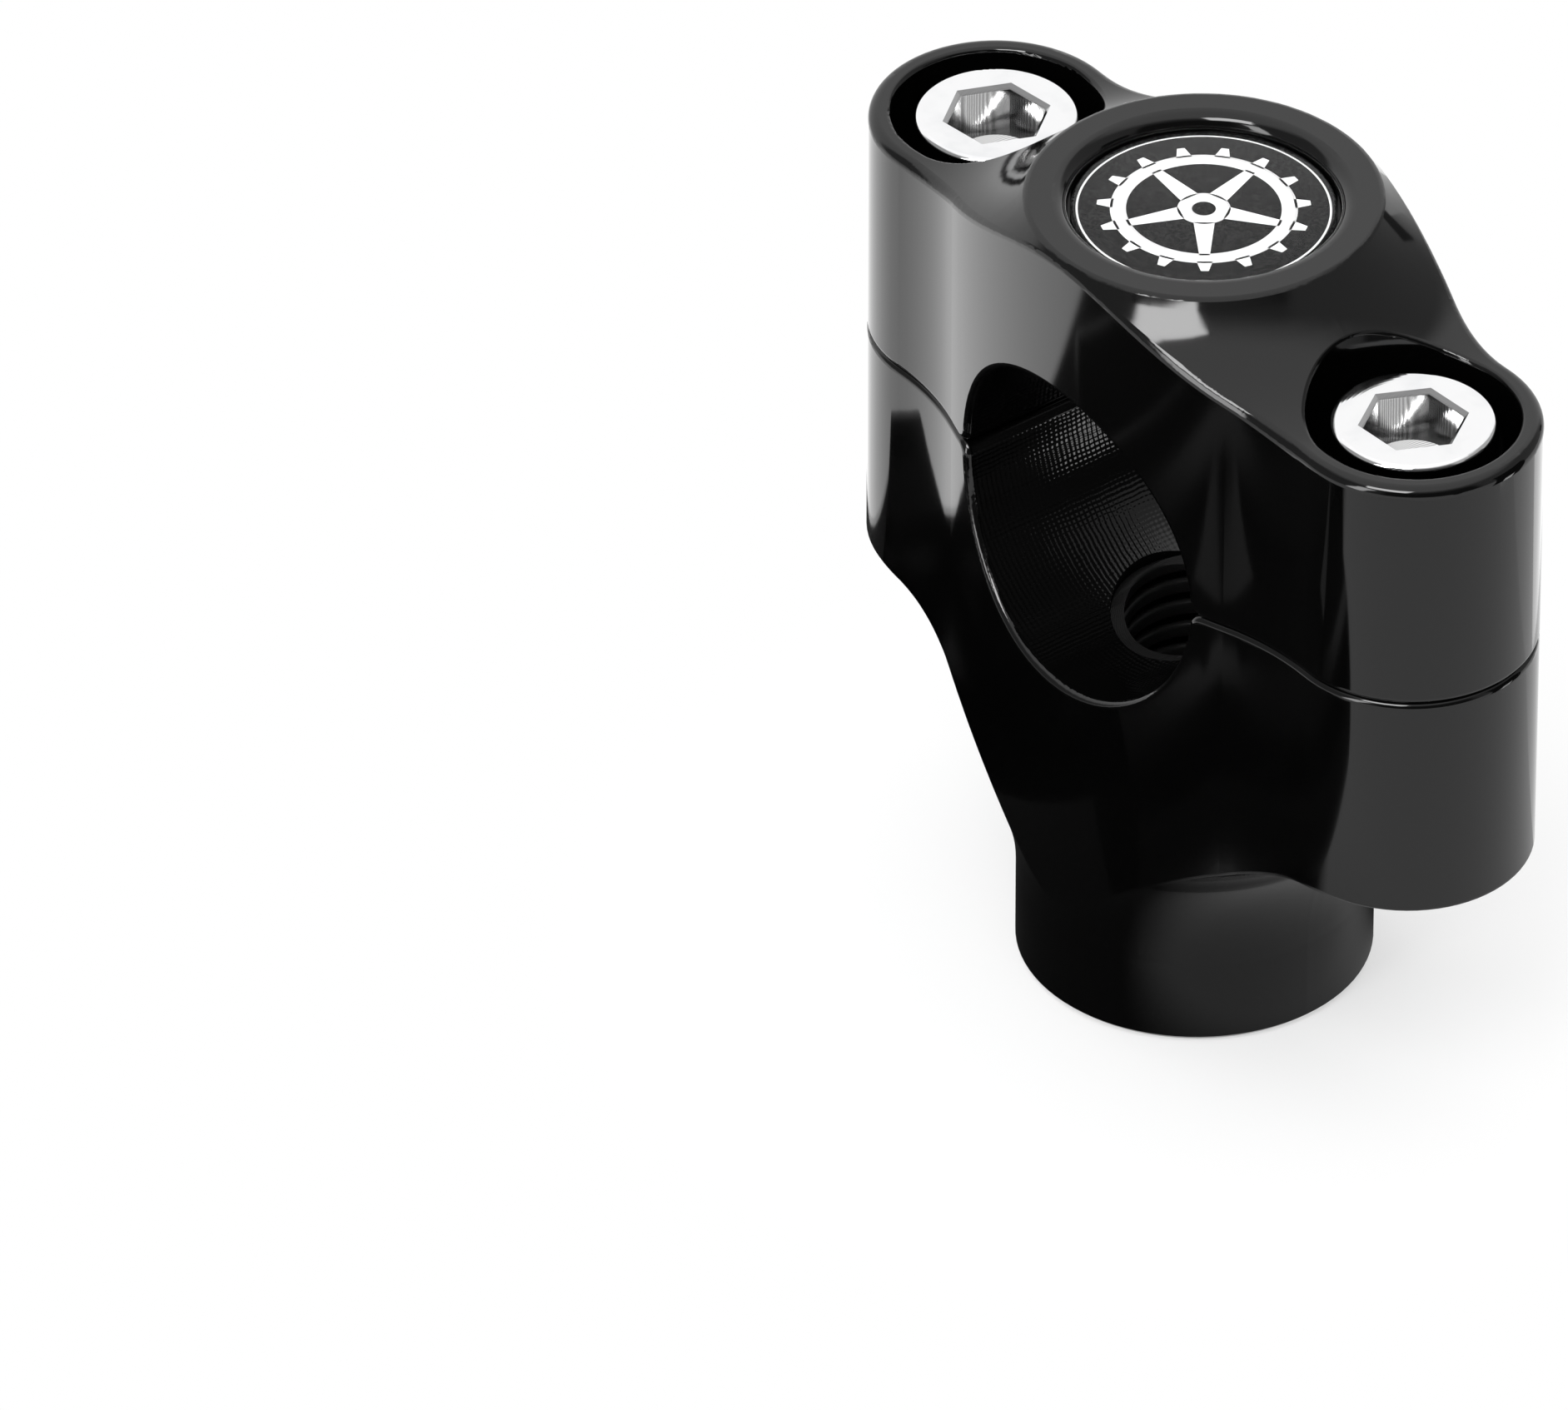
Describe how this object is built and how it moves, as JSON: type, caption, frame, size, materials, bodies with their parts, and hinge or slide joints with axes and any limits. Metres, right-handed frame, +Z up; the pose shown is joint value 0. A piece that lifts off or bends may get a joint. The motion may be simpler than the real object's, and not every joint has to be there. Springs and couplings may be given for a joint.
{
  "type": "motorcycle bar riser",
  "caption": "Handlebar riser with a round threaded foot, a split bar clamp, socket screws and a badge recess on the cap.",
  "frame": {"origin": "centre of the foot's mounting face", "axes": "+Z up the riser to the cap, X from screw to screw, Y along the handlebar"},
  "size_m": [0.0662, 0.0262, 0.0655],
  "materials": {
    "black_aluminium": "gloss black anodised",
    "chromed_screw": "polished chrome",
    "adhesive_pad": "matt foam tape",
    "charcoal_disc": "fine-grained charcoal print",
    "clear_resin": "clear domed resin"
  },
  "bodies": {
    "root": {"riser_body": "black_aluminium", "clamp_cap": "black_aluminium", "cap_screw_left": "chromed_screw", "cap_screw_right": "chromed_screw", "badge_pad": "adhesive_pad", "badge_disc": "charcoal_disc", "badge_dome": "clear_resin"}
  },
  "joints": []
}
